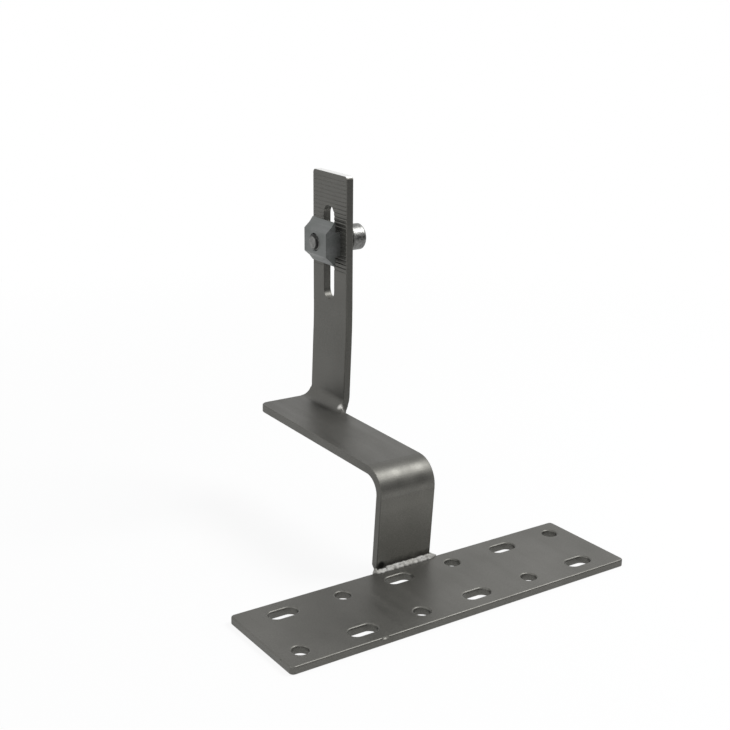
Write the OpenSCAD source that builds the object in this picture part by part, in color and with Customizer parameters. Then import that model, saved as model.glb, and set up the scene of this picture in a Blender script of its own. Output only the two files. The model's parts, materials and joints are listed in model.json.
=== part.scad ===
// Solar tile roof hook: a perforated base plate, an arm bent from one strip and a sliding rail clamp.
// Millimetres. X runs along the plate, Y away from it along the arm's run, Z up. The origin is the
// middle of the plate's underside.

/* [Base plate] */
// Length of the plate along X
plate_l = 180; // [178:1:260]
// Width of the plate along Y
plate_w = 50; // [46:1:80]
// Thickness of the plate
plate_t = 3.5; // [2.5:0.5:6]
// Radius of the plate's corners in plan
plate_corner_r = 2; // [1:0.1:6]
// Radius rolled on the plate's top edges
plate_roll_r = 0.75; // [0.2:0.05:0.9]
// Radius of the plate's bottom edges
plate_under_r = 0.4; // [0.1:0.1:0.8]
// Place of the nick in the plate's front edge, along the plate
nick_x = -45.6; // [-80:0.2:80]
// Length of the nick
nick_l = 3.8; // [1:0.2:6]
// Depth of the nick
nick_depth = 0.45; // [0.1:0.05:0.6]
// Place of the dent in the plate's left edge, across the plate
dent_y = -16.8; // [-20:0.2:20]
// Width of the dent
dent_w = 1.5; // [0.5:0.1:2]
// Depth of the dent
dent_depth = 0.4; // [0.1:0.1:0.6]

/* [Screw holes] */
// Diameter of the round holes and width of the slotted ones
hole_d = 7; // [4:0.5:8.5]
// Distance that a screw can move along a slotted hole
hole_travel = 6.4; // [3:0.2:12]
// Distance between neighbouring holes in a row
hole_pitch = 30; // [24:1:32]
// Distance between the two rows of holes
hole_rows = 30; // [24:1:32]
// How far each row is shifted along the plate, one way in front and the other way behind
hole_shift = 5; // [0:1:6]
// Radius of the rolled rim at the top of each hole
hole_rim_r = 0.9; // [0.2:0.1:1.5]

/* [Hook arm] */
// Width of the strip
arm_w = 30; // [24:1:40]
// Thickness of the strip
arm_t = 4; // [3:0.5:6]
// Radius of the strip's edges
arm_edge_r = 0.5; // [0.2:0.1:1]
// Place of the strip's middle along the plate
arm_x = -0.5; // [-20:0.5:20]
// Lean of the short upright towards the front, in degrees
foot_lean = 3.8; // [0:0.2:8]
// Bevel on the back of the foot, in degrees from the strip's face
foot_bevel = 45; // [35:1:60]
// How far the foot reaches below the rolled edge that it touches
foot_drop = 0.5; // [0:0.1:1.5]
// Height of the run's top face above the plate's underside, over the plate's back edge
run_h = 51.8; // [40:1:90]
// Rise of the run away from the plate, in degrees
run_rise = 1.34; // [0:0.1:4]
// Length of the run, from the plate's back edge to the run's far end
reach = 104.8; // [80:1:160]
// Inner radius of the bend between the short upright and the run
front_bend_r = 8; // [4:0.5:12]
// Radius of the run's far corner in plan
run_corner_r = 4; // [1:0.5:6]

/* [Slotted upright] */
// Width of the upright along the run
tab_w = 30; // [26:1:34]
// Height of the upright's top above the run's top face
tab_h = 117; // [105:1:160]
// Distance from the run's edge out to the upright's inner face
tab_out = 0.6; // [0:0.1:6]
// Inner radius of the bend between the run and the upright
side_bend_r = 6; // [4:0.5:9]
// Angle past square of the upright's lower part, in degrees: it leans out where this is negative
tab_lean = -0.75; // [-2:0.05:3]
// Extra angle of the upright's upper part, in degrees
kink_lean = 2.24; // [0.5:0.1:3]
// Height above the run's top face where the change in angle starts
kink_h = 35; // [30:1:50]
// Radius of the change in angle
kink_r = 400; // [100:50:600]
// Radius of the upright's top corners
tab_corner_r = 2; // [1:0.2:5]
// Radius of the blank's inside corner, between the run's edge and the upright's near edge
web_r = 4; // [2:0.5:6]

/* [Slot and serrations] */
// Width of the slot
slot_w = 9.4; // [8.8:0.2:11]
// Length of the slot between its round ends' tips
slot_l = 47.2; // [40:0.2:50]
// Distance from the upright's top to the slot
slot_top = 16; // [12:1:20]
// Distance that the slot lies past the upright's middle, away from the plate
slot_shift = 0.5; // [-1.5:0.1:1.5]
// Distance between neighbouring serrations
groove_pitch = 2; // [1.5:0.1:3]
// Depth of each serration
groove_depth = 0.25; // [0.15:0.05:0.8]
// Width of each serration at the face
groove_w = 0.9; // [0.6:0.1:1.4]
// Distance from the upright's top to the first serration
groove_top = 2.9; // [2:0.1:6]
// Number of serrations
groove_count = 23; // [10:1:26]

/* [Rail clamp] */
// Distance from the upright's top down to the clamp screw
clamp_drop = 33.3; // [30:0.1:44]
// Length of the rail nut along the upright's width
nut_l = 19.5; // [16:0.5:26]
// How far the nut's middle lies in front of its screw
nut_shift = 0.7; // [0:0.1:2]
// Height of the nut's front face
nut_face_h = 11.5; // [10.5:0.5:13]
// Height of the nut's shoulders
nut_shoulder_h = 16.6; // [14:0.2:18]
// Height of the nut's flange
nut_flange_h = 21.6; // [19:0.2:26]
// Depth from the nut's front face to its shoulders
nut_shoulder_d = 2.9; // [2:0.1:3.6]
// Depth from the nut's front face to the full height of its flange
nut_flange_d = 4.8; // [4:0.1:5.2]
// Depth from the nut's front face to the back of its flange
nut_back_d = 5.45; // [5.4:0.05:7]
// Height of the nut's neck
neck_h = 12; // [10:0.5:16]
// Length of the nut's neck, from the flange to the serrated face
neck_l = 3; // [2:0.2:6]
// Radius of the nut's long edges
nut_edge_r = 0.3; // [0.1:0.1:0.4]

/* [Screw and washers] */
// Thread diameter of the clamp screw
screw_d = 8; // [6:1:8]
// Length of the screw under its head
screw_l = 20; // [19:1:26]
// Diameter of the screw's head
head_d = 13; // [12.5:0.5:15]
// Height of the screw's head
head_h = 8; // [6:0.5:10]
// Chamfer around the head's outer end
head_chamfer = 0.9; // [0.3:0.1:1.5]
// Chamfer around the head's bearing end
head_back_chamfer = 0.5; // [0.2:0.1:1]
// Width across the flats of the hexagon socket
socket_af = 6; // [4:0.5:7]
// Depth of the hexagon socket
socket_depth = 4.5; // [3:0.5:5.5]
// Chamfer at the screw's thread end
tip_chamfer = 1; // [0.5:0.1:1.4]
// Outer diameter of the flat washer
washer_d = 16; // [14:0.5:20]
// Thickness of the flat washer
washer_t = 1.6; // [1:0.2:2.4]
// Edge radius of the flat washer
washer_edge_r = 0.25; // [0.1:0.05:0.4]
// Thickness of the spring washer's coil along the screw
spring_t = 2.1; // [1.6:0.1:2.4]
// Width of the spring washer's coil
spring_w = 2.3; // [1.6:0.1:3]
// Height of the spring washer when it is not pressed
spring_h = 4.8; // [4.6:0.1:6]
// Place of the spring washer's split around the screw, in degrees from straight up
split_angle = 105; // [0:5:355]
// Width of the split around the screw, in degrees
split_gap = 8; // [4:1:20]

/* [Clearances] */
// Radial clearance between the screw and the nut's threads
thread_clearance = 0.05; // [0.02:0.01:0.1]
// Radial clearance between the screw and the flat washer
washer_clearance = 0.2; // [0.1:0.05:0.4]
// Radial clearance between the screw and the spring washer
spring_clearance = 0.15; // [0.1:0.05:0.3]

/* [Welds] */
// Leg of the front bead on the strip
weld_leg = 2.1; // [1.5:0.1:3]
// Leg of the front bead on the plate
weld_plate_leg = 1.8; // [1.2:0.1:3]
// Length of the front bead past the strip's right edge
weld_flare_right = 4.8; // [2:0.2:8]
// Length of the front bead past the strip's left edge
weld_flare_left = 2.2; // [1:0.2:6]
// Height of the ripples on the beads
weld_ripple = 0.15; // [0:0.05:0.3]
// Distance between ripples
weld_ripple_pitch = 2.6; // [1.5:0.1:5]

/* [Hidden] */
steel = [0.42, 0.42, 0.41];
weld_colour = [0.66, 0.65, 0.62];
alloy = [0.47, 0.49, 0.51];
bright = [0.72, 0.72, 0.72];

// How far a cutting shape runs past what it cuts
past = 5;
// How far a bend of the strip runs into the flats beside it
lap = 0.2;
// How much thinner and narrower a bend is than the flats, on each face
bend_thinning = 0.02;
// Facets of a full circle, and of a small edge's
round_fn = 64;
edge_fn = 32;

holes_in_row = 6;

// The line where the short upright touches the plate's back edge, just under the rolled edge
touch_y = plate_w / 2;
touch_z = plate_t - plate_roll_r;

// The sharp outer corner that the short upright and the run would have without their bend:
// its distance along the upright from the touching line, and along the run from the plate's back edge
corner_up = (run_h - touch_z) / (cos(foot_lean) + sin(foot_lean) * tan(run_rise));
corner_run = -corner_up * sin(foot_lean) / cos(run_rise);
front_angle = 90 + foot_lean - run_rise;
front_outer_r = front_bend_r + arm_t;
front_tangent = front_outer_r * tan(front_angle / 2);
foot_l = corner_up - front_tangent;
run_start = corner_run + front_tangent;
run_end = reach / cos(run_rise);
bevel_h = arm_t / tan(foot_bevel);

// The upright, measured in the run's frame: X across the strip, Y along it, Z out of its top face
side_angle = 90 + tab_lean;
side_outer_r = side_bend_r + arm_t;
bend_x = arm_w / 2 + tab_out - side_bend_r * tan(side_angle / 2);
tab_y = run_end - tab_w / 2;
tab_near = run_end - tab_w;
lower_l = kink_h - side_bend_r;
upper_l = tab_h - kink_h - kink_r * sin(kink_lean);

// The web that closes the blank's inside corner: it starts flat on the run and ends bent with the tab
web_edge = arm_w / 2 - bend_x;
web_y = tab_near - web_r;
web_steps = 8;
web_segments = 10;
// How far the web lies inside the faces that it joins, and how far it runs into them
web_inset = 0.05;
web_lap = 1;
mid_r = side_bend_r + arm_t / 2;
web_angle = (web_edge + web_r) / mid_r * 180 / PI;

// The clamp's stack along the screw, from the upright's inner face: X is out through the upright
clamp_z = upper_l - clamp_drop;
nut_front = -neck_l - nut_back_d;
washer_x = arm_t;
spring_x = washer_x + washer_t;
head_x = spring_x + spring_h;
tip_x = head_x - screw_l;
nut_bore_r = screw_d / 2 + thread_clearance;
nut_bore_chamfer = 0.5;
spring_in_r = screw_d / 2 + spring_clearance;
spring_steps = 60;
spring_corner = 0.3;

weld_steps = 72;
// Depth that the front bead reaches at the plate's rolled edge
bead_sink = 0.5;
// Least share of its leg that a bead keeps at its tips
least_share = 0.02;
// The sunken crater at the front bead's left end
crater_l = 5;
crater_share = 0.45;
// Distance from the strip's edge to the back bead's end, and the length over which that end rounds off
back_bead_inset = 1.5;
back_bead_run = 3;

// A square cut with one or two of its right-hand corners rounded: the rim of a sheet
module rim_profile(depth, t, top_r, bottom_r) {
    square([depth - max(top_r, bottom_r), t]);
    translate([0, bottom_r])
        square([depth, t - top_r - bottom_r]);
    translate([depth - top_r, t - top_r])
        circle(top_r, $fn = edge_fn);
    if (bottom_r > 0)
        translate([depth - bottom_r, bottom_r])
            circle(bottom_r, $fn = edge_fn);
}

// A flat sheet, centred in plan on the origin and standing on it, with round corners and rolled edges
module sheet(l, w, t, corner_r, top_r, bottom_r) {
    inner_l = l - 2 * corner_r;
    inner_w = w - 2 * corner_r;
    translate([-inner_l / 2, -inner_w / 2, 0])
        cube([inner_l, inner_w, t]);
    for (side = [0, 180])
        rotate([0, 0, side]) {
            translate([inner_l / 2, inner_w / 2, 0])
                rotate([90, 0, 0])
                    linear_extrude(inner_w)
                        rim_profile(corner_r, t, top_r, bottom_r);
            translate([-inner_l / 2, inner_w / 2, 0])
                rotate([90, 0, 90])
                    linear_extrude(inner_l)
                        rim_profile(corner_r, t, top_r, bottom_r);
            translate([inner_l / 2, inner_w / 2, 0])
                rotate_extrude(angle = 90, $fn = round_fn)
                    rim_profile(corner_r, t, top_r, bottom_r);
            translate([-inner_l / 2, inner_w / 2, 0])
                rotate([0, 0, 90])
                    rotate_extrude(angle = 90, $fn = round_fn)
                        rim_profile(corner_r, t, top_r, bottom_r);
        }
}

// The profile that rounds the top rim of a hole: outside the hole's wall at x = r
module rim_cut(r) {
    difference() {
        square([r + hole_rim_r, hole_rim_r + past]);
        translate([r + hole_rim_r, 0])
            circle(hole_rim_r, $fn = edge_fn);
    }
}

// A hole with a rolled top rim, lengthened along X by travel
module rimmed_hole(travel) {
    r = hole_d / 2;
    for (end = [-1, 1])
        translate([end * travel / 2, 0, 0]) {
            translate([0, 0, -past])
                cylinder(h = plate_t + 2 * past, r = r, $fn = round_fn);
            translate([0, 0, plate_t - hole_rim_r])
                rotate_extrude($fn = round_fn)
                    rim_cut(r);
        }
    if (travel > 0) {
        translate([-travel / 2, -r, -past])
            cube([travel, hole_d, plate_t + 2 * past]);
        for (side = [0, 180])
            rotate([0, 0, side])
                translate([-travel / 2, 0, plate_t - hole_rim_r])
                    rotate([90, 0, 90])
                        linear_extrude(travel)
                            rim_cut(r);
    }
}

module plate_blank() {
    sheet(plate_l, plate_w, plate_t, plate_corner_r, plate_roll_r, plate_under_r);
}

// What a blow takes out of a face at z = 0: a shallow bowl of the given width and depth
module blow(width, depth) {
    r = (width * width / 4 + depth * depth) / (2 * depth);
    translate([0, 0, r - depth])
        sphere(r, $fn = round_fn);
}

module base_plate() {
    color(steel)
        difference() {
            plate_blank();
            for (row = [0, 180])
                rotate([0, 0, row])
                    for (i = [0 : holes_in_row - 1])
                        translate([(i - (holes_in_row - 1) / 2) * hole_pitch - hole_shift, -hole_rows / 2, 0])
                            rimmed_hole(i % 2 == 0 ? 0 : hole_travel);
            translate([nick_x, plate_roll_r - plate_w / 2, plate_t - plate_roll_r])
                rotate([45, 0, 0])
                    translate([0, 0, plate_roll_r])
                        blow(nick_l, nick_depth);
            translate([-plate_l / 2, dent_y, plate_t - plate_roll_r])
                rotate([0, -90, 0])
                    blow(dent_w, dent_depth);
        }
}

// The strip's section, with its thickness from x = 0 and its width centred on y = 0. Its near edge, at
// -y, has a radius of its own, which may be 0
module strip_section(w, t, near_r) {
    r = arm_edge_r;
    translate([0, near_r - w / 2])
        square([t, w - near_r - r]);
    translate([near_r, -w / 2])
        square([t - 2 * near_r, w / 2]);
    translate([r, 0])
        square([t - 2 * r, w / 2]);
    for (x = [r, t - r])
        translate([x, w / 2 - r])
            circle(r, $fn = edge_fn);
    if (near_r > 0)
        for (x = [near_r, t - near_r])
            translate([x, near_r - w / 2])
                circle(near_r, $fn = edge_fn);
}

// A bend of the strip around the Z axis, between two angles, thinned on each face
module bend(inner_r, first, last, w, near_r, thinning) {
    lap_angle = lap / inner_r * 180 / PI;
    rotate([0, 0, first - lap_angle])
        rotate_extrude(angle = last - first + 2 * lap_angle, $fn = 2 * round_fn)
            translate([inner_r + thinning, 0])
                strip_section(w - 2 * thinning, arm_t - 2 * thinning, near_r);
}

// Frame of the short upright: Z along it, Y into its thickness, origin on the touching line
module at_foot() {
    translate([arm_x, touch_y, touch_z])
        rotate([foot_lean, 0, 0])
            children();
}

// Frame of the run: Y along it, Z out of its top face, origin over the plate's back edge
module at_run() {
    translate([arm_x, plate_w / 2, run_h])
        rotate([run_rise, 0, 0])
            children();
}

// Frame of the upright's lower part at the end of the side bend: Z along it, X = 0 on its bend's axis
module at_lower() {
    at_run()
        translate([bend_x, tab_y, side_bend_r])
            rotate([0, -tab_lean, 0])
                children();
}

// Frame of the upright's upper part: X = 0 on its inner face, Z along it from the end of the kink
module at_upper() {
    at_lower()
        translate([side_bend_r - kink_r, 0, lower_l])
            rotate([0, -kink_lean, 0])
                translate([kink_r, 0, 0])
                    children();
}

// Frame of the clamp: X along its screw, X = 0 on the serrated face
module at_clamp() {
    at_upper()
        translate([0, slot_shift, clamp_z])
            children();
}

module foot() {
    at_foot()
        difference() {
            translate([0, 0, -foot_drop])
                rotate([0, 0, 90])
                    linear_extrude(foot_l + foot_drop)
                        strip_section(arm_w, arm_t, arm_edge_r);
            translate([-arm_w / 2 - past, 0, -foot_drop])
                rotate([90, 0, 90])
                    linear_extrude(arm_w + 2 * past)
                        polygon([[0, 0], [2 * arm_t, 2 * bevel_h], [2 * arm_t, -past], [0, -past]]);
        }
}

module front_bend() {
    at_foot()
        translate([0, front_outer_r, foot_l])
            rotate([90, 0, -90])
                bend(front_bend_r, 0, front_angle, arm_w, arm_edge_r, bend_thinning);
}

// The flat of the run: a sheet cut square at the front bend and relieved where the tab bends up
module run() {
    run_l = ceil(run_end - run_start) + past;
    at_run()
        difference() {
            translate([0, run_end - run_l / 2, -arm_t])
                sheet(arm_w, run_l, arm_t, run_corner_r, arm_edge_r, arm_edge_r);
            translate([-arm_w, run_start - 2 * past, -arm_t - past])
                cube([2 * arm_w, 2 * past, arm_t + 2 * past]);
            translate([bend_x, web_y, -arm_t - past])
                cube([arm_w, tab_w + 2 * past, arm_t + 2 * past]);
        }
}

// The tab's bend: its near edge is square as far as the web covers it and rounded beyond
module side_bend() {
    at_run()
        translate([bend_x, tab_y, side_bend_r])
            rotate([90, 90, 0]) {
                bend(side_bend_r, 0, web_angle, tab_w, 0, bend_thinning);
                bend(side_bend_r, web_angle, side_angle, tab_w, arm_edge_r, 2 * bend_thinning);
            }
}

// A point of the web's section: s along the sheet's middle from the bend's start, n out of its top,
// with the bend's curvature taken up to the share bent
function web_point(s, n, bent) =
    let (r = mid_r / bent, a = s / r * 180 / PI)
    [bend_x + (r - n) * sin(a), r - (r - n) * cos(a)];

// The web's outline at the sheet's edge s_end, thinner than the sheet by its inset on each face
function web_outline(s_end, bent) =
    let (h = arm_t / 2 - web_inset,
         e = arm_edge_r,
         k = e * (1 - cos(45)),
         places = [for (i = [0 : web_segments]) -web_lap + (s_end - e + web_lap) * i / web_segments])
    concat(
        [for (i = [0 : web_segments]) web_point(places[i], h, bent)],
        [for (p = [[k, h - k], [0, h - e], [0, e - h], [k, k - h]]) web_point(s_end - p[0], p[1], bent)],
        [for (i = [web_segments : -1 : 0]) web_point(places[i], -h, bent)]
    );

// The web's cap: quads between the sheet's two faces, and one polygon over its rounded edge
web_n = 2 * (web_segments + 1) + 4;
web_cap = concat(
    [for (i = [0 : web_segments - 1]) [i, i + 1, web_n - 2 - i, web_n - 1 - i]],
    [[for (i = [web_segments : web_n - 1 - web_segments]) i]]
);

function smooth(u) = u * u * (3 - 2 * u);

// The faces of a sweep through rings of n points each, clockwise as seen along the sweep. The cap is a
// list of the polygons that close a ring
function ring_faces(n, rings, cap) =
    concat(
        cap,
        [for (f = cap) [for (i = [len(f) - 1 : -1 : 0]) (rings - 1) * n + f[i]]],
        [for (j = [0 : rings - 2])
            for (i = [0 : n - 1])
                let (a = j * n + i, b = j * n + (i + 1) % n)
                for (f = [[a, a + n, b], [b, a + n, b + n]]) f]
    );

// A cap that is one polygon
function flat_cap(n) = [[for (i = [0 : n - 1]) i]];

module web() {
    least_bent = 0.001;
    rings = concat(
        [[web_y - web_lap, 0, least_bent]],
        [for (j = [0 : web_steps])
            let (u = j / web_steps)
            [web_y + web_r * u, web_r * (1 - sqrt(1 - u * u)), max(least_bent, smooth(u))]],
        [[tab_near + web_lap, web_r, 1]]
    );
    points = [for (ring = rings)
        for (p = web_outline(web_edge + ring[1] - web_inset, ring[2])) [p[0], ring[0], p[1] - arm_t / 2]];
    at_run()
        polyhedron(points, ring_faces(web_n, len(rings), web_cap));
}

module lower_upright() {
    at_lower() {
        translate([side_bend_r, 0, 0])
            linear_extrude(lower_l)
                strip_section(tab_w, arm_t, arm_edge_r);
        translate([side_bend_r - kink_r, 0, lower_l])
            rotate([90, 0, 0])
                bend(kink_r, 0, kink_lean, tab_w, arm_edge_r, bend_thinning);
    }
}

module slot_cut() {
    centre_z = upper_l - slot_top - slot_l / 2;
    travel = slot_l - slot_w;
    translate([-past, slot_shift, centre_z]) {
        for (end = [-1, 1])
            translate([0, 0, end * travel / 2])
                rotate([0, 90, 0])
                    cylinder(h = arm_t + 2 * past, r = slot_w / 2, $fn = round_fn);
        translate([0, -slot_w / 2, -travel / 2])
            cube([arm_t + 2 * past, slot_w, travel]);
    }
}

module serrations() {
    for (i = [0 : groove_count - 1])
        translate([0, tab_w / 2 + past, upper_l - groove_top - i * groove_pitch])
            rotate([90, 0, 0])
                linear_extrude(tab_w + 2 * past)
                    polygon([[-groove_depth, groove_w], [groove_depth, 0], [-groove_depth, -groove_w]]);
}

module upper_upright() {
    sheet_l = ceil(upper_l) + past;
    at_upper()
        difference() {
            translate([0, 0, upper_l - sheet_l / 2])
                rotate([90, 0, 90])
                    sheet(tab_w, sheet_l, arm_t, tab_corner_r, arm_edge_r, arm_edge_r);
            translate([-past, -tab_w, -2 * past])
                cube([arm_t + 2 * past, 2 * tab_w, 2 * past]);
        }
}

module hook_arm() {
    color(steel)
        difference() {
            union() {
                foot();
                front_bend();
                run();
                web();
                side_bend();
                lower_upright();
                upper_upright();
            }
            at_upper() {
                slot_cut();
                serrations();
            }
        }
}

// Share of the full leg that the front bead has at x, measured from the strip's middle: it runs out in a
// hollow curve past each edge of the strip
function bead_share(x) =
    let (beyond = abs(x) - arm_w / 2, flare = x > 0 ? weld_flare_right : weld_flare_left)
    beyond > 0 ? pow(max(least_share, 1 - beyond / flare), 2) : 1;

function ripple(x) =
    weld_ripple * (sin(360 * x / weld_ripple_pitch) + 0.6 * sin(360 * x / (1.7 * weld_ripple_pitch) + 40));

// The front bead's section at x, as Y from the touching line and Z from the plate's top: round the
// strip's side where it runs past the strip, down its belly, along the plate and back
function front_section(x) =
    let (share = bead_share(x),
         sunken = x > -arm_w / 2 && x < -arm_w / 2 + crater_l ? crater_share : 1,
         on_plate = (weld_plate_leg + ripple(x)) * share,
         on_strip = (weld_leg + ripple(x + 1)) * share * sunken,
         wrap = 0.7 * weld_leg * share)
    [
        [wrap, 0.65 * on_strip],
        [0.5 * wrap, 0.95 * on_strip],
        [0, on_strip],
        [-0.2 * on_plate, 0.75 * on_strip],
        [-0.6 * on_plate, 0.36 * on_strip],
        [-on_plate, 0],
        [-on_plate, -bead_sink],
        [0, -bead_sink]
    ];

// The back bead's section, from the same lines: it fills the foot's bevel and shrinks at both ends
function back_section(x) =
    let (beyond = abs(x) - (arm_w / 2 - back_bead_inset - back_bead_run),
         share = beyond > 0 ? sqrt(max(least_share, 1 - pow(beyond / back_bead_run, 2))) : 1,
         swell = share * (1 + 0.5 * ripple(x)),
         tip = -plate_roll_r - foot_drop,
         on_bevel = [[0.7, 1], [0.2, 0.45], [0, -0.02]],
         outside = [[0, -0.45], [0.3, -0.25], [0.58, 0.08], [0.8, 0.55], [0.9, 0.98]])
    [for (p = concat(on_bevel, outside)) [p[0] * arm_t * swell, tip + p[1] * bevel_h * swell]];

// A bead as a sweep along X: places are X from the strip's middle, sections hold Y and Z
module bead(places, sections) {
    n = len(sections[0]);
    points = [for (i = [0 : len(places) - 1]) for (p = sections[i]) [places[i], p[0], p[1]]];
    translate([arm_x, touch_y, plate_t])
        polyhedron(points, ring_faces(n, len(places), flat_cap(n)));
}

module weld_front() {
    x0 = -arm_w / 2 - weld_flare_left;
    x1 = arm_w / 2 + weld_flare_right;
    places = [for (i = [0 : weld_steps]) x0 + (x1 - x0) * i / weld_steps];
    color(weld_colour)
        difference() {
            bead(places, [for (x = places) front_section(x)]);
            plate_blank();
            foot();
        }
}

module weld_back() {
    x1 = arm_w / 2 - back_bead_inset;
    places = [for (i = [0 : weld_steps]) -x1 + 2 * x1 * i / weld_steps];
    color(weld_colour)
        difference() {
            bead(places, [for (x = places) back_section(x)]);
            foot();
        }
}

// The outline with each corner replaced by an arc of radius r
function rounded(outline, r) =
    let (n = len(outline), steps = 4)
    [for (i = [0 : n - 1])
        let (p = outline[i],
             back = unit(outline[(i + n - 1) % n] - p),
             ahead = unit(outline[(i + 1) % n] - p),
             half = acos(back * ahead) / 2,
             start = p + back * r / tan(half),
             end = p + ahead * r / tan(half),
             centre = p + unit(back + ahead) * r / sin(half))
        for (j = [0 : steps])
            centre + r * unit(start + (end - start) * j / steps - centre)];

function unit(v) = v / norm(v);

// The nut's section, with X along the screw and Z up: face, shoulders, flange and neck
module rail_nut() {
    upper = [
        [nut_front, nut_face_h / 2],
        [nut_front + nut_shoulder_d, nut_shoulder_h / 2],
        [nut_front + nut_flange_d, nut_flange_h / 2],
        [nut_front + nut_back_d, nut_flange_h / 2],
        [nut_front + nut_back_d, neck_h / 2],
        [0, neck_h / 2]
    ];
    lower = [for (i = [len(upper) - 1 : -1 : 0]) [upper[i][0], -upper[i][1]]];
    bore_l = nut_back_d + neck_l;
    color(alloy)
        at_clamp()
            difference() {
                translate([0, nut_l / 2 - nut_shift, 0])
                    rotate([90, 0, 0])
                        linear_extrude(nut_l)
                            polygon(rounded(concat(upper, lower), nut_edge_r));
                translate([nut_front - past, 0, 0])
                    rotate([0, 90, 0])
                        cylinder(h = bore_l + 2 * past, r = nut_bore_r, $fn = round_fn);
                translate([nut_front, 0, 0])
                    rotate([0, 90, 0])
                        translate([0, 0, -nut_bore_chamfer])
                            cylinder(h = 2 * nut_bore_chamfer, r1 = nut_bore_r + 2 * nut_bore_chamfer,
                                     r2 = nut_bore_r, $fn = round_fn);
            }
}

module flat_washer() {
    hole_r = screw_d / 2 + washer_clearance;
    color(bright)
        at_clamp()
            translate([washer_x, 0, 0])
                rotate([0, 90, 0])
                    rotate_extrude($fn = round_fn)
                        translate([hole_r, 0])
                            rim_profile(washer_d / 2 - hole_r, washer_t, washer_edge_r, washer_edge_r);
}

// One turn of a left-hand coil of rectangular section with broken corners
module spring_washer() {
    turn = 360 - split_gap;
    rise = spring_h - spring_t;
    out_r = spring_in_r + spring_w;
    c = spring_corner;
    section = [
        [spring_t - c, out_r],
        [c, out_r],
        [0, out_r - c],
        [0, spring_in_r + c],
        [c, spring_in_r],
        [spring_t - c, spring_in_r],
        [spring_t, spring_in_r + c],
        [spring_t, out_r - c]
    ];
    points = [for (i = [0 : spring_steps])
        let (a = split_angle + split_gap / 2 + turn * i / spring_steps,
             x = spring_x + rise * (1 - i / spring_steps))
        for (p = section) [x + p[0], -p[1] * sin(a), p[1] * cos(a)]];
    color(bright)
        at_clamp()
            polyhedron(points, ring_faces(len(section), spring_steps + 1, flat_cap(len(section))));
}

module cap_screw() {
    shank_r = screw_d / 2;
    head_r = head_d / 2;
    total_l = screw_l + head_h;
    socket_r = socket_af / 2 / cos(30);
    drill_h = socket_r / 2;
    color(bright)
        at_clamp()
            translate([tip_x, 0, 0])
                rotate([0, 90, 0])
                    difference() {
                        rotate_extrude($fn = round_fn)
                            polygon([
                                [0, 0],
                                [shank_r - tip_chamfer, 0],
                                [shank_r, tip_chamfer],
                                [shank_r, screw_l],
                                [head_r - head_back_chamfer, screw_l],
                                [head_r, screw_l + head_back_chamfer],
                                [head_r, total_l - head_chamfer],
                                [head_r - head_chamfer, total_l],
                                [0, total_l]
                            ]);
                        translate([0, 0, total_l - socket_depth])
                            cylinder(h = socket_depth + past, r = socket_r, $fn = 6);
                        translate([0, 0, total_l - socket_depth - drill_h])
                            cylinder(h = drill_h, r1 = 0, r2 = socket_af / 2, $fn = round_fn);
                    }
}

base_plate();
hook_arm();
weld_front();
weld_back();
rail_nut();
flat_washer();
spring_washer();
cap_screw();
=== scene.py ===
# Looks of the solar tile roof hook: finish of its steel, weld, nut and screw, with plain studio light
import json
import math

import bmesh
import bpy
from mathutils import Matrix, Vector, noise

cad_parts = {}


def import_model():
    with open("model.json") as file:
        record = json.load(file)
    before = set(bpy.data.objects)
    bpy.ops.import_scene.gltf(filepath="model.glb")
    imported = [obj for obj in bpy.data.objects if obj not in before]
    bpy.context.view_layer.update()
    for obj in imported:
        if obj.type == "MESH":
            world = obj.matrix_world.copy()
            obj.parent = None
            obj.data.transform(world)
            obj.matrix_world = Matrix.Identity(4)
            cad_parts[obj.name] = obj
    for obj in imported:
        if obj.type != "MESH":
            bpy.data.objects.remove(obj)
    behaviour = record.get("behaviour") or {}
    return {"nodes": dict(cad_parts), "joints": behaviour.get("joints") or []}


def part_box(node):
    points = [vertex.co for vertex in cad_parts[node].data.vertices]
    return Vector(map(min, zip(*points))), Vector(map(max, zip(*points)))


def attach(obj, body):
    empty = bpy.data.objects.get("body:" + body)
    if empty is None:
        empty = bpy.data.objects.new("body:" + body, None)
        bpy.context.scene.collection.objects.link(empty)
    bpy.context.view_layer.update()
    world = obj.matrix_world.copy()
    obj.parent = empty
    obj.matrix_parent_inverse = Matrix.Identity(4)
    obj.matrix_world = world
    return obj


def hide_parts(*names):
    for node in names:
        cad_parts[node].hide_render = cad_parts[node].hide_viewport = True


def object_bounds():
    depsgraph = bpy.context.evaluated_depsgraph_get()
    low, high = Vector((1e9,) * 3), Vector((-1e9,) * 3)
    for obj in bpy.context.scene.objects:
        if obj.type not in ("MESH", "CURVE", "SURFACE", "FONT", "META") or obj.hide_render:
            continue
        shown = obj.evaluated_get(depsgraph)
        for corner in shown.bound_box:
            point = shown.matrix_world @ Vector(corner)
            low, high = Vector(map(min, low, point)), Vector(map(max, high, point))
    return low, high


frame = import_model()
cad_box = [list(corner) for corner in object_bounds()]

MM = 0.001

# Camera, found from the plate's edges: its place in metres, its right, up and forward directions, and
# its sensor and lens in millimetres
CAMERA_AT = (-0.30476, -0.38116, 0.24801)
CAMERA_RIGHT = (0.8251, -0.5647, 0.0174)
CAMERA_UP = (0.1463, 0.2433, 0.9588)
CAMERA_FORWARD = (0.5457, 0.7886, -0.2834)
SENSOR = 36.0
LENS = 60.04


def joint_named(name):
    return next(joint for joint in frame["joints"] if joint["name"] == name)


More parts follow.
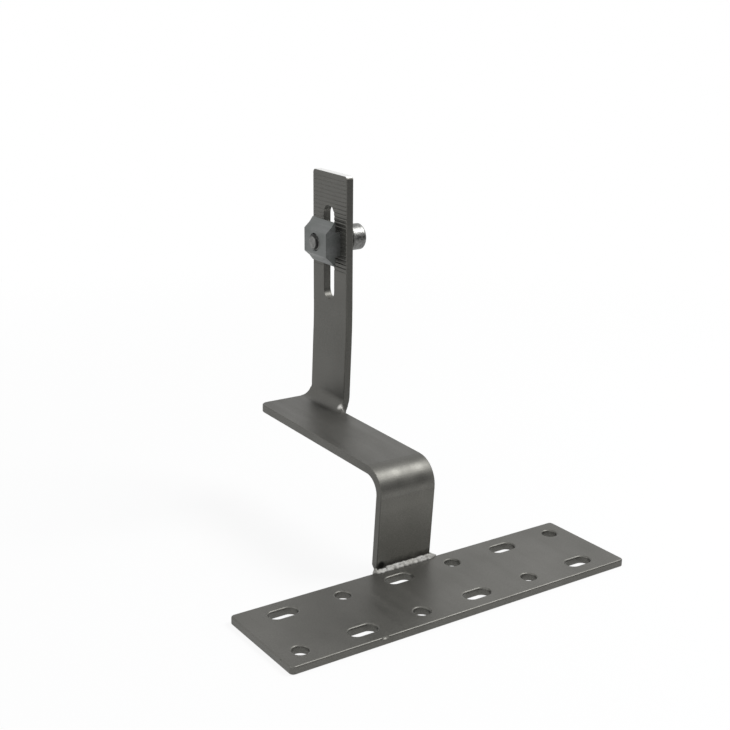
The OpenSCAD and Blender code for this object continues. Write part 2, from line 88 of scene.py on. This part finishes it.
def clamp_frame():
    """The clamp's own axes: X along the screw out through the upright, Z along the slot."""
    x = Vector(joint_named("screw_turn")["axis"]).normalized()
    up = Vector(joint_named("clamp_slide")["axis"]).normalized()
    y = up.cross(x).normalized()
    z = x.cross(y)
    at = Vector(joint_named("screw_turn")["pos_m"])
    rotation = Matrix((x, y, z)).transposed()
    return Matrix.Translation(at) @ rotation.to_4x4()


CLAMP = clamp_frame()


def extent(node):
    """Lowest and highest corner of a CAD node, measured in the clamp's axes."""
    into = CLAMP.inverted()
    points = [into @ vertex.co for vertex in frame["nodes"][node].data.vertices]
    lowest = [min(point[i] for point in points) for i in range(3)]
    highest = [max(point[i] for point in points) for i in range(3)]
    return lowest, highest


# Directions of the object: backward is away from the plate, along the run
ORIGIN = (0.0, 0.0, 0.0)
FORWARD = (0.0, -1.0, 0.0)
BACKWARD = (0.0, 1.0, 0.0)
UPWARD = (0.0, 0.0, 1.0)
SCREW_AXIS = CLAMP.col[0].to_3d()
ALONG_SLOT = CLAMP.col[2].to_3d()


# Materials

class Nodes:
    """A small helper that adds shader nodes to a material and links them."""

    def __init__(self, name):
        self.material = bpy.data.materials.new(name)
        self.material.use_nodes = True
        self.tree = self.material.node_tree
        self.shader = self.tree.nodes["Principled BSDF"]

    def add(self, kind, **values):
        node = self.tree.nodes.new(kind)
        for key, value in values.items():
            setattr(node, key, value)
        return node

    def link(self, out, into):
        self.tree.links.new(out, into)

    def position(self):
        return self.add("ShaderNodeTexCoord").outputs["Object"]

    def noise(self, scale, detail=2.0, rough=0.5, stretch=None):
        node = self.add("ShaderNodeTexNoise")
        node.inputs["Scale"].default_value = scale
        node.inputs["Detail"].default_value = detail
        node.inputs["Roughness"].default_value = rough
        source = self.position()
        if stretch:
            mapping = self.add("ShaderNodeMapping")
            mapping.inputs["Scale"].default_value = stretch
            self.link(source, mapping.inputs["Vector"])
            source = mapping.outputs["Vector"]
        self.link(source, node.inputs["Vector"])
        return node.outputs["Fac"]

    def ramp(self, fac, stops):
        """A colour between two stops, each a place from 0 to 1 and a colour."""
        node = self.add("ShaderNodeValToRGB")
        for element, (place, colour) in zip(node.color_ramp.elements, stops):
            element.position = place
            element.color = (*colour, 1.0)
        self.link(fac, node.inputs["Fac"])
        return node.outputs["Color"]

    def mapped(self, fac, low, high, to_low, to_high):
        node = self.add("ShaderNodeMapRange")
        for key, value in (("From Min", low), ("From Max", high), ("To Min", to_low), ("To Max", to_high)):
            node.inputs[key].default_value = value
        self.link(fac, node.inputs["Value"])
        return node.outputs["Result"]

    def mix(self, fac, a, b, blend="MIX"):
        """Two colours mixed: sockets 0, 6 and 7 take the factor and the colours, and 2 gives the result."""
        node = self.add("ShaderNodeMix", data_type="RGBA", blend_type=blend)
        for socket, value in ((node.inputs[0], fac), (node.inputs[6], a), (node.inputs[7], b)):
            if isinstance(value, bpy.types.NodeSocket):
                self.link(value, socket)
            else:
                socket.default_value = value if isinstance(value, float) else (*value, 1.0)
        return node.outputs[2]

    def math(self, operation, a, b=0.0):
        node = self.add("ShaderNodeMath", operation=operation)
        for socket, value in zip(node.inputs, (a, b)):
            if isinstance(value, bpy.types.NodeSocket):
                self.link(value, socket)
            else:
                socket.default_value = value
        return node.outputs[0]

    def distance(self, point):
        """Distance in metres from a fixed point of the object."""
        node = self.add("ShaderNodeVectorMath", operation="DISTANCE")
        self.link(self.position(), node.inputs[0])
        node.inputs[1].default_value = point
        return node.outputs["Value"]

    def away_from(self, point):
        """Vector in metres from a fixed point of the object."""
        node = self.add("ShaderNodeVectorMath", operation="SUBTRACT")
        self.link(self.position(), node.inputs[0])
        node.inputs[1].default_value = point
        return node.outputs["Vector"]

    def along(self, point, direction):
        """Distance in metres from a point, measured along a unit direction."""
        dot = self.add("ShaderNodeVectorMath", operation="DOT_PRODUCT")
        self.link(self.away_from(point), dot.inputs[0])
        dot.inputs[1].default_value = direction
        return dot.outputs["Value"]

    def off_axis(self, point, direction):
        """Distance in metres from a line through a point in a unit direction."""
        cross = self.add("ShaderNodeVectorMath", operation="CROSS_PRODUCT")
        self.link(self.away_from(point), cross.inputs[0])
        cross.inputs[1].default_value = direction
        length = self.add("ShaderNodeVectorMath", operation="LENGTH")
        self.link(cross.outputs["Vector"], length.inputs[0])
        return length.outputs["Value"]

    def facing(self, direction):
        """How far the surface faces a direction: 1 is straight towards it."""
        dot = self.add("ShaderNodeVectorMath", operation="DOT_PRODUCT")
        self.link(self.add("ShaderNodeNewGeometry").outputs["True Normal"], dot.inputs[0])
        dot.inputs[1].default_value = direction
        return dot.outputs["Value"]

    def scaled(self, colour, factor):
        """A colour made lighter or darker by a factor."""
        node = self.add("ShaderNodeVectorMath", operation="SCALE")
        self.link(colour, node.inputs[0])
        self.link(factor, node.inputs["Scale"])
        return node.outputs["Vector"]

    def beside(self, point, half_length):
        """Distance in metres from a line along X with the given middle and half length."""
        parts = self.add("ShaderNodeSeparateXYZ")
        self.link(self.away_from(point), parts.inputs[0])
        past_end = self.math("SUBTRACT", self.math("ABSOLUTE", parts.outputs["X"]), half_length)
        total = self.math("POWER", self.math("MAXIMUM", past_end, 0.0), 2.0)
        for axis in "YZ":
            square = self.math("POWER", self.math("ABSOLUTE", parts.outputs[axis]), 2.0)
            total = self.math("ADD", total, square)
        return self.math("SQRT", total)

    def bump(self, height, strength, distance):
        node = self.add("ShaderNodeBump")
        node.inputs["Strength"].default_value = strength
        node.inputs["Distance"].default_value = distance
        self.link(height, node.inputs["Height"])
        return node.outputs["Normal"]

    def finish(self, colour, roughness, normal, metallic=1.0):
        self.shader.inputs["Metallic"].default_value = metallic
        for name, socket in (("Base Color", colour), ("Roughness", roughness), ("Normal", normal)):
            self.link(socket, self.shader.inputs[name])
        return self.material


# Nearly all of a noise texture's values lie in this range. A scale below is in a texture's cells a metre,
# and a bump is its strength and its height in metres
NOISE = (0.3, 0.7)
WHITE = (1.0, 1.0, 1.0)

# Blasted steel, with its clouds, rubbed streaks and grain, and the share of it that reflects as bare metal
STEEL_DARK = (0.118, 0.116, 0.105)
STEEL_LIGHT = (0.150, 0.147, 0.135)
STEEL_ROUGHNESS = (0.40, 0.50)
CLOUD_SCALE = 28
STREAK_SCALE = 160
STREAK_STRETCH = (1.0, 0.12, 0.12)
GRAIN_SCALE = 1700
GRAIN_BUMP = (0.35, 0.00007)
SPECKLE = (0.80, 0.80, 0.80)
STEEL_BARE = 0.8


def blasted_steel(name):
    """Matt stainless sheet: soft cloudy tone, fine grain and a few rubbed streaks."""
    nodes = Nodes(name)
    clouds = nodes.noise(CLOUD_SCALE, detail=3.0)
    grain = nodes.noise(GRAIN_SCALE, detail=2.0, rough=0.6)
    streaks = nodes.noise(STREAK_SCALE, detail=3.0, stretch=STREAK_STRETCH)
    colour = nodes.ramp(clouds, zip(NOISE, (STEEL_DARK, STEEL_LIGHT)))
    speckle = nodes.ramp(grain, zip(NOISE, (SPECKLE, WHITE)))
    colour = nodes.mix(1.0, colour, speckle, blend="MULTIPLY")
    roughness = nodes.mapped(streaks, *NOISE, *STEEL_ROUGHNESS)
    normal = nodes.bump(grain, *GRAIN_BUMP)
    return nodes, colour, roughness, normal


def plate_material():
    nodes, colour, roughness, normal = blasted_steel("plate_finish")
    return nodes.finish(colour, roughness, normal, STEEL_BARE)


# The foot's line along the top of the front weld: its middle, and half its length, which is the back weld's
BACK_LOW, BACK_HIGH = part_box("weld_back")
WELD_LOW, WELD_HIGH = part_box("weld_front")
WELD_LEG = 1.8 * MM
WELD_LINE = ((BACK_LOW[0] + BACK_HIGH[0]) / 2, WELD_LOW[1] + WELD_LEG, WELD_HIGH[2])
WELD_HALF = (BACK_HIGH[0] - BACK_LOW[0]) / 2

# Soot above that weld, with a ragged edge, and painted shade in the hollow at the weld's left end
SOOT = (0.022, 0.021, 0.019)
SOOT_SHARE = 0.7
SOOT_SCALE = 420
SOOT_START = 0.6 * MM
SOOT_REACH = 3.4 * MM
SOOT_RAGGED = 0.8 * MM
HOLLOW_SHADE = (0.008, 0.008, 0.007)
HOLLOW_SHADE_SHARE = 0.95
HOLLOW_AT = (-13.1 * MM, 24.8 * MM, 6.6 * MM)
HOLLOW_CORE = 1.2 * MM
HOLLOW_EDGE = 2.3 * MM

# Tone of the strip, and painted light on its foot's front face, which ends at a place along the run.
# The painted light fades as the front bend rises and turns away
STRIP_TONE = 0.89
FOOT_PAINTED_LIGHT = 1.75
FOOT_BEFORE = 40 * MM
FOOT_TURNS = (0.70, 0.98)
FADE_FROM = 34 * MM
FADE_TO = 46 * MM
FADE_SHARE = 0.4

# A painted highlight at the inside corner between the run and the upright
CORNER_HIGHLIGHT = (0.62, 0.61, 0.58)
CORNER_AT = (13.6 * MM, 100.3 * MM, 55.4 * MM)
CORNER_CORE = 0.5 * MM
CORNER_EDGE = 1.9 * MM

# A painted highlight on the upright's top face: it lies this high along the slot above the screw, and faces
# up
TOP_HIGHLIGHT = (0.74, 0.74, 0.73)
TOP_HIGHLIGHT_FROM = 30.0 * MM
TOP_HIGHLIGHT_TURNS = (0.6, 0.8)


def foot_light_share(nodes):
    """Share of painted light: 1 on the foot's front face and 0 away from it."""
    on_foot = nodes.math("LESS_THAN", nodes.along(ORIGIN, BACKWARD), FOOT_BEFORE)
    below = nodes.mapped(nodes.along(ORIGIN, UPWARD), FADE_FROM, FADE_TO, 1.0, FADE_SHARE)
    front = nodes.math("MULTIPLY", on_foot, nodes.mapped(nodes.facing(FORWARD), *FOOT_TURNS, 0.0, 1.0))
    return nodes.math("MULTIPLY", front, below)


def soot_and_hollow_shade(nodes, colour):
    edge = nodes.mapped(nodes.noise(SOOT_SCALE, detail=3.0), *NOISE, -SOOT_RAGGED, SOOT_RAGGED)
    reach = nodes.math("ADD", nodes.beside(WELD_LINE, WELD_HALF), edge)
    colour = nodes.mix(nodes.mapped(reach, SOOT_START, SOOT_REACH, SOOT_SHARE, 0.0), colour, SOOT)
    # Painted shade, nearly black, in the hollow at the weld's left end
    hollow_shade = nodes.mapped(nodes.distance(HOLLOW_AT), HOLLOW_CORE, HOLLOW_EDGE, HOLLOW_SHADE_SHARE, 0.0)
    return nodes.mix(hollow_shade, colour, HOLLOW_SHADE)


def arm_material():
    nodes, colour, roughness, normal = blasted_steel("arm_finish")
    # Painted light: the foot's front face is made lighter than the rest of the strip
    colour = nodes.scaled(colour, nodes.mapped(foot_light_share(nodes), 0.0, 1.0, STRIP_TONE, FOOT_PAINTED_LIGHT))
    colour = soot_and_hollow_shade(nodes, colour)
    # Painted highlight at the inside corner
    corner_highlight = nodes.mapped(nodes.distance(CORNER_AT), CORNER_CORE, CORNER_EDGE, 1.0, 0.0)
    colour = nodes.mix(corner_highlight, colour, CORNER_HIGHLIGHT)
    # Painted highlight on the upright's top face
    high = nodes.math("GREATER_THAN", nodes.along(CLAMP.translation, ALONG_SLOT), TOP_HIGHLIGHT_FROM)
    top_highlight = nodes.math("MULTIPLY", high, nodes.mapped(nodes.facing(ALONG_SLOT), *TOP_HIGHLIGHT_TURNS, 0.0, 1.0))
    colour = nodes.mix(top_highlight, colour, TOP_HIGHLIGHT)
    return nodes.finish(colour, roughness, normal, STEEL_BARE)


# Weld metal, with its stain, and the share of it that reflects as bare metal
WELD_DARK = (0.28, 0.276, 0.262)
WELD_LIGHT = (0.38, 0.375, 0.36)
WELD_STAIN = (0.72, 0.71, 0.68)
WELD_ROUGHNESS = (0.54, 0.64)
WELD_BUMP = (0.15, 0.00008)
WELD_SCALE = 420
WELD_STAIN_SCALE = 160
WELD_BARE = 0.45


def weld_material():
    nodes = Nodes("weld_finish")
    lumps = nodes.noise(WELD_SCALE, detail=2.0)
    patches = nodes.noise(WELD_STAIN_SCALE, detail=2.0)
    colour = nodes.ramp(lumps, zip(NOISE, (WELD_DARK, WELD_LIGHT)))
    stain = nodes.ramp(patches, [(0.35, WELD_STAIN), (0.6, WHITE)])
    colour = nodes.mix(1.0, colour, stain, blend="MULTIPLY")
    roughness = nodes.mapped(lumps, *NOISE, *WELD_ROUGHNESS)
    return nodes.finish(colour, roughness, nodes.bump(lumps, *WELD_BUMP), WELD_BARE)


# Drawn aluminium, with its stain, and the share of it that reflects as bare metal
NUT_DARK = (0.155, 0.160, 0.158)
NUT_LIGHT = (0.195, 0.200, 0.198)
NUT_STAIN = (0.86, 0.88, 0.86)
NUT_ROUGHNESS = (0.42, 0.52)
NUT_BUMP = (0.3, 0.00004)
NUT_SCALE = 900
NUT_STRETCH = (1.0, 0.03, 1.0)
NUT_STAIN_SCALE = 120
NUT_BARE = 0.95


def nut_material():
    nodes = Nodes("nut_finish")
    drawn = nodes.noise(NUT_SCALE, detail=3.0, stretch=NUT_STRETCH)
    patches = nodes.noise(NUT_STAIN_SCALE, detail=2.0)
    colour = nodes.ramp(drawn, zip(NOISE, (NUT_DARK, NUT_LIGHT)))
    stain = nodes.ramp(patches, [(0.35, NUT_STAIN), (0.65, WHITE)])
    colour = nodes.mix(1.0, colour, stain, blend="MULTIPLY")
    roughness = nodes.mapped(drawn, *NOISE, *NUT_ROUGHNESS)
    return nodes.finish(colour, roughness, nodes.bump(drawn, *NUT_BUMP), NUT_BARE)


# Fine scuffs on the washers and the screw
SCUFF_SCALE = 700
SCUFF_BUMP = (0.15, 0.00003)


def scuffed_metal(name, dark, light, roughnesses):
    """Scuffed steel, between two colours and between two roughnesses."""
    nodes = Nodes(name)
    scuffs = nodes.noise(SCUFF_SCALE, detail=4.0, rough=0.6)
    colour = nodes.ramp(scuffs, zip(NOISE, (dark, light)))
    roughness = nodes.mapped(scuffs, *NOISE, *roughnesses)
    return nodes, colour, roughness, nodes.bump(scuffs, *SCUFF_BUMP)


WASHER_DARK = (0.34, 0.34, 0.33)
WASHER_LIGHT = (0.52, 0.52, 0.51)
WASHER_ROUGHNESS = (0.18, 0.32)


def washer_material():
    nodes, *finish = scuffed_metal("washer_finish", WASHER_DARK, WASHER_LIGHT, WASHER_ROUGHNESS)
    return nodes.finish(*finish)


# The screw, and painted shade in a dark ring around its tip: before a place along the screw, and outside the
# tip's face
SCREW_DARK = (0.10, 0.10, 0.098)
SCREW_LIGHT = (0.25, 0.25, 0.24)
SCREW_ROUGHNESS = (0.30, 0.42)
TIP_RING_SHADE = (0.012, 0.012, 0.012)
TIP_RING_SHADE_SHARE = 0.9
TIP_SHADE_BEFORE = -8.3 * MM
TIP_SHADE_FROM = 2.9 * MM
TIP_SHADE_TO = 3.1 * MM


def screw_material():
    nodes, colour, *relief = scuffed_metal("screw_finish", SCREW_DARK, SCREW_LIGHT, SCREW_ROUGHNESS)
    # Painted shade: a dark ring around the tip's face
    at_tip = nodes.math("LESS_THAN", nodes.along(CLAMP.translation, SCREW_AXIS), TIP_SHADE_BEFORE)
    outside = nodes.mapped(nodes.off_axis(CLAMP.translation, SCREW_AXIS), TIP_SHADE_FROM, TIP_SHADE_TO, 0.0, TIP_RING_SHADE_SHARE)
    colour = nodes.mix(nodes.math("MULTIPLY", at_tip, outside), colour, TIP_RING_SHADE)
    return nodes.finish(colour, *relief)


def dress(node, material):
    for slot in frame["nodes"][node].material_slots:
        slot.material = material


WELD_FINISH = weld_material()
WASHER_FINISH = washer_material()
SCREW_FINISH = screw_material()

dress("base_plate", plate_material())
dress("hook_arm", arm_material())
dress("rail_nut", nut_material())
dress("flat_washer", WASHER_FINISH)
dress("spring_washer", WASHER_FINISH)
dress("weld_front", WELD_FINISH)
dress("weld_back", WELD_FINISH)
dress("cap_screw", SCREW_FINISH)


# Cap screw, with its thread, knurled head and socket

SCREW_LOW, SCREW_HIGH = extent("cap_screw")
SCREW_R = 4.0 * MM
TIP_CHAMFER = 1.0 * MM
TIP_MIDDLE_R = 1.2 * MM
AROUND = 256
SMOOTH_BELOW = 35

# The thread: its profile rises from 0 at the root to 1 at the crest, by this slope over a turn
THREAD_PITCH = 1.25 * MM
THREAD_DEPTH = 0.62 * MM
THREAD_ROWS = 8
THREAD_SLOPE = 2.6
THREAD_ROOT = 0.15
THREAD_RUNOUT = 0.3 * MM

# The head: each of its chamfers is rounded by one more ring, at these shares of its length and depth
HEAD_R = (SCREW_HIGH[1] - SCREW_LOW[1]) / 2
HEAD_H = 8.0 * MM
HEAD_CHAMFER = 0.9 * MM
HEAD_ROUNDING = (0.35, 0.65)
BACK_CHAMFER = 0.5 * MM
BACK_ROUNDING = (0.7, 0.3)
FACE_R = HEAD_R - 1.1 * HEAD_CHAMFER
KNURLS = 64
KNURL_RUNOUT = 0.4 * MM
KNURL_DEPTH = 0.06 * MM

# The hexagon socket, from its mouth to the drill's point at its bottom
SOCKET_FLAT = 3.0 * MM
SOCKET_DEPTH = 4.5 * MM
SOCKET_BEVEL = 0.2 * MM
SOCKET_MOUTH_R = 3.6 * MM
SOCKET_FLOOR_R = 2.7 * MM
SOCKET_POINT = 1.5 * MM
SOCKET_POINT_R = 0.3 * MM


def plain(radius):
    """A round ring."""
    return lambda angle: radius


def threaded(x, limit):
    """The thread's ring at x, no larger than the tip's chamfer allows there."""
    def at(angle):
        turn = (x / THREAD_PITCH - angle / math.tau) % 1.0
        height = min(1.0, max(0.0, THREAD_SLOPE * abs(turn - 0.5) - THREAD_ROOT))
        return min(limit, SCREW_R - THREAD_DEPTH * (1 - height))
    return at


def knurled(radius):
    """A ring with fine ridges, whose tops lie at the radius."""
    def at(angle):
        return radius - KNURL_DEPTH * (1 - abs(math.sin(KNURLS * angle / 2)))
    return at


def hexagon(flat):
    """A six-sided ring, whose flats lie this far from its middle."""
    sector = math.tau / 6
    return lambda angle: flat / math.cos((angle + sector / 2) % sector - sector / 2)


def screw_rings():
    """The screw's rings from its tip to the socket's bottom: place along X, and radius by angle."""
    tip = SCREW_LOW[0]
    end = SCREW_HIGH[0]
    seat = end - HEAD_H
    rings = [(tip, plain(TIP_MIDDLE_R)), (tip, plain(SCREW_R - TIP_CHAMFER))]
    step = THREAD_PITCH / THREAD_ROWS
    rows = int((seat - tip - THREAD_RUNOUT) / step)
    for i in range(1, rows + 1):
        x = tip + i * step
        rings.append((x, threaded(x, SCREW_R - TIP_CHAMFER + i * step)))
    rings.append((seat, plain(SCREW_R)))
    rings.append((seat, plain(HEAD_R - BACK_CHAMFER)))
    rings.append((seat + BACK_ROUNDING[0] * BACK_CHAMFER, plain(HEAD_R - BACK_ROUNDING[1] * BACK_CHAMFER)))
    rings.append((seat + BACK_CHAMFER, plain(HEAD_R - KNURL_DEPTH)))
    rings.append((seat + 2 * BACK_CHAMFER, knurled(HEAD_R)))
    rings.append((end - HEAD_CHAMFER - KNURL_RUNOUT, knurled(HEAD_R)))
    rings.append((end - HEAD_CHAMFER, plain(HEAD_R - KNURL_DEPTH)))
    rings.append((end - HEAD_ROUNDING[0] * HEAD_CHAMFER, plain(HEAD_R - HEAD_ROUNDING[1] * HEAD_CHAMFER)))
    rings.append((end, plain(FACE_R)))
    rings.append((end, plain(SOCKET_MOUTH_R)))
    rings.append((end - SOCKET_BEVEL, hexagon(SOCKET_FLAT)))
    rings.append((end - SOCKET_DEPTH, hexagon(SOCKET_FLAT)))
    rings.append((end - SOCKET_DEPTH, plain(SOCKET_FLOOR_R)))
    rings.append((end - SOCKET_DEPTH - SOCKET_POINT, plain(SOCKET_POINT_R)))
    return rings


def ringed_mesh(name, rings, around):
    """A closed skin over rings around the X axis."""
    mesh = bmesh.new()
    loops = []
    for x, radius in rings:
        loop = []
        for i in range(around):
            angle = math.tau * i / around
            r = radius(angle)
            loop.append(mesh.verts.new((x, r * math.cos(angle), r * math.sin(angle))))
        loops.append(loop)
    for lower, upper in zip(loops, loops[1:]):
        for i in range(around):
            j = (i + 1) % around
            mesh.faces.new((lower[i], lower[j], upper[j], upper[i]))
    mesh.faces.new(loops[0][::-1])
    mesh.faces.new(loops[-1])
    bmesh.ops.recalc_face_normals(mesh, faces=mesh.faces)
    data = bpy.data.meshes.new(name)
    mesh.to_mesh(data)
    mesh.free()
    return data


def smooth_by_angle(obj, degrees):
    bpy.context.view_layer.objects.active = obj
    obj.select_set(True)
    bpy.ops.object.shade_smooth_by_angle(angle=math.radians(degrees))
    obj.select_set(False)


def clamp_screw():
    data = ringed_mesh("clamp_screw", screw_rings(), AROUND)
    data.transform(CLAMP)
    obj = bpy.data.objects.new("clamp_screw", data)
    bpy.context.collection.objects.link(obj)
    data.materials.append(SCREW_FINISH)
    smooth_by_angle(obj, SMOOTH_BELOW)
    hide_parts("cap_screw")
    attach(obj, "screw")


clamp_screw()


# Weld beads: each is swollen a little and made lumpy, as rough as cast metal

BEAD_VOXEL = 0.22 * MM
BEAD_LUMP = 0.14 * MM
BEAD_SWELL = 0.5 * MM
BEAD_SMOOTHING = 6
LUMPS_PER_METRE = 420
LUMP_FALLOFF = 0.7
LUMP_STEP = 2.0
LUMP_OCTAVES = 3


def rough_bead(node, name):
    """The node's own bead, remeshed finely, smoothed, swollen and pushed in and out by lumps."""
    obj = bpy.data.objects.new(name, frame["nodes"][node].data.copy())
    bpy.context.collection.objects.link(obj)
    remesh = obj.modifiers.new("remesh", "REMESH")
    remesh.mode = "VOXEL"
    remesh.voxel_size = BEAD_VOXEL
    bpy.context.view_layer.objects.active = obj
    obj.select_set(True)
    bpy.ops.object.modifier_apply(modifier="remesh")
    smooth = obj.modifiers.new("smooth", "SMOOTH")
    smooth.iterations = BEAD_SMOOTHING
    bpy.ops.object.modifier_apply(modifier="smooth")
    obj.select_set(False)
    outward = [vertex.normal.copy() for vertex in obj.data.vertices]
    underside = cad_box[0][2]
    for vertex, normal in zip(obj.data.vertices, outward):
        lump = noise.fractal(vertex.co * LUMPS_PER_METRE, LUMP_FALLOFF, LUMP_STEP, LUMP_OCTAVES)
        vertex.co += normal * (BEAD_SWELL + lump * BEAD_LUMP)
        vertex.co.z = max(vertex.co.z, underside)
    for face in obj.data.polygons:
        face.use_smooth = True
    obj.data.materials.clear()
    obj.data.materials.append(WELD_FINISH)
    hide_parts(node)
    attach(obj, "hook")


rough_bead("weld_front", "front_bead")
rough_bead("weld_back", "back_bead")


# Studio: a pale floor, a dark card, a white world and soft lamps

def white_for_camera(tree, shader, white, share=None):
    """Shows white to camera, glossy and transmission rays, by a share if given, and else the shader."""
    path = tree.nodes.new("ShaderNodeLightPath")
    amount = path.outputs["Is Camera Ray"]
    for ray in ("Is Glossy Ray", "Is Transmission Ray"):
        either = tree.nodes.new("ShaderNodeMath")
        either.operation = "MAXIMUM"
        tree.links.new(amount, either.inputs[0])
        tree.links.new(path.outputs[ray], either.inputs[1])
        amount = either.outputs[0]
    if share is not None:
        part = tree.nodes.new("ShaderNodeMath")
        part.operation = "MULTIPLY"
        tree.links.new(amount, part.inputs[0])
        tree.links.new(share, part.inputs[1])
        amount = part.outputs[0]
    mix = tree.nodes.new("ShaderNodeMixShader")
    tree.links.new(amount, mix.inputs[0])
    tree.links.new(shader, mix.inputs[1])
    tree.links.new(white, mix.inputs[2])
    return mix.outputs[0]


# The floor lies just under the plate. Its white glow for the camera grows with distance from the object
FLOOR_SIZE = 8.0
FLOOR_DROP = 0.2 * MM
FLOOR_WHITE = (0.86, 0.86, 0.86, 1.0)
FLOOR_ROUGHNESS = 0.9
NEAR_GLOW = 0.9
GLOW_START = 0.25
GLOW_END = 0.7


def floor():
    bpy.ops.mesh.primitive_plane_add(size=FLOOR_SIZE, location=(0, 0, cad_box[0][2] - FLOOR_DROP))
    obj = bpy.context.object
    obj.name = "studio_floor"
    nodes = Nodes("studio_floor")
    nodes.shader.inputs["Base Color"].default_value = FLOOR_WHITE
    nodes.shader.inputs["Roughness"].default_value = FLOOR_ROUGHNESS
    nodes.shader.inputs["Specular IOR Level"].default_value = 0.0
    share = nodes.mapped(nodes.distance(ORIGIN), GLOW_START, GLOW_END, NEAR_GLOW, 1.0)
    glow = nodes.add("ShaderNodeEmission")
    surface = white_for_camera(nodes.tree, nodes.shader.outputs[0], glow.outputs[0], share)
    nodes.link(surface, nodes.tree.nodes["Material Output"].inputs["Surface"])
    obj.data.materials.append(nodes.material)


# A card in front on the right, which shows only in reflections: it is dark this far from its middle and
# clear at its rim
CARD_AT = (0.24, -0.345, 0.02)
CARD_SIZE = 1.0
CARD_DARK = 0.24
CARD_LEVEL = 0.04


def dark_card():
    bpy.ops.mesh.primitive_plane_add(size=CARD_SIZE, location=CARD_AT)
    obj = bpy.context.object
    obj.name = "studio_card"
    obj.rotation_euler = Vector(CARD_AT).to_track_quat("Z", "Y").to_euler()
    nodes = Nodes("studio_card")
    shade = nodes.add("ShaderNodeEmission")
    shade.inputs["Strength"].default_value = CARD_LEVEL
    clear = nodes.add("ShaderNodeBsdfTransparent")
    mix = nodes.add("ShaderNodeMixShader")
    nodes.link(nodes.mapped(nodes.distance(ORIGIN), CARD_DARK, CARD_SIZE / 2, 1.0, 0.0), mix.inputs[0])
    nodes.link(clear.outputs[0], mix.inputs[1])
    nodes.link(shade.outputs[0], mix.inputs[2])
    nodes.link(mix.outputs[0], nodes.tree.nodes["Material Output"].inputs["Surface"])
    obj.data.materials.append(nodes.material)
    obj.visible_camera = False
    obj.visible_diffuse = False
    obj.visible_transmission = False
    obj.visible_shadow = False


# The world's light on the object
FILL_COLOUR = (0.96, 0.98, 1.0, 1.0)
FILL_LEVEL = 0.45


def world():
    scene_world = bpy.data.worlds.new("studio")
    bpy.context.scene.world = scene_world
    scene_world.use_nodes = True
    tree = scene_world.node_tree
    fill = tree.nodes["Background"]
    fill.inputs["Color"].default_value = FILL_COLOUR
    fill.inputs["Strength"].default_value = FILL_LEVEL
    white = tree.nodes.new("ShaderNodeBackground")
    white.inputs["Color"].default_value = (*WHITE, 1.0)
    white.inputs["Strength"].default_value = 1.0
    surface = white_for_camera(tree, fill.outputs[0], white.outputs[0])
    tree.links.new(surface, tree.nodes["World Output"].inputs["Surface"])


# Softboxes: place, width and height in metres, and watts
LIGHT_TARGET = (0.0, 0.05, 0.06)
KEY_AT = (0.62, -0.27, 0.95)
KEY_SIZE = (0.55, 0.4)
KEY_POWER = 10.0
SIDE_AT = (-1.1, 0.2, 0.75)
SIDE_SIZE = (0.8, 0.8)
SIDE_POWER = 3.0


def softbox(name, at, size, power):
    data = bpy.data.lights.new(name, "AREA")
    data.shape = "RECTANGLE"
    data.size, data.size_y = size
    data.energy = power
    obj = bpy.data.objects.new(name, data)
    bpy.context.collection.objects.link(obj)
    obj.location = at
    obj.rotation_euler = (Vector(LIGHT_TARGET) - Vector(at)).to_track_quat("-Z", "Y").to_euler()


def camera():
    data = bpy.data.cameras.new("photo_view")
    data.sensor_width = SENSOR
    data.sensor_fit = "HORIZONTAL"
    data.lens = LENS
    data.clip_start = 0.01
    obj = bpy.data.objects.new("photo_view", data)
    bpy.context.collection.objects.link(obj)
    columns = Matrix((CAMERA_RIGHT, CAMERA_UP, [-part for part in CAMERA_FORWARD])).transposed()
    obj.matrix_world = Matrix.Translation(CAMERA_AT) @ columns.to_4x4()
    bpy.context.scene.camera = obj


floor()
dark_card()
world()
softbox("softbox_top", KEY_AT, KEY_SIZE, KEY_POWER)
softbox("softbox_left", SIDE_AT, SIDE_SIZE, SIDE_POWER)
camera()
bpy.context.scene.view_settings.view_transform = "Standard"

bpy.context.view_layer.update()
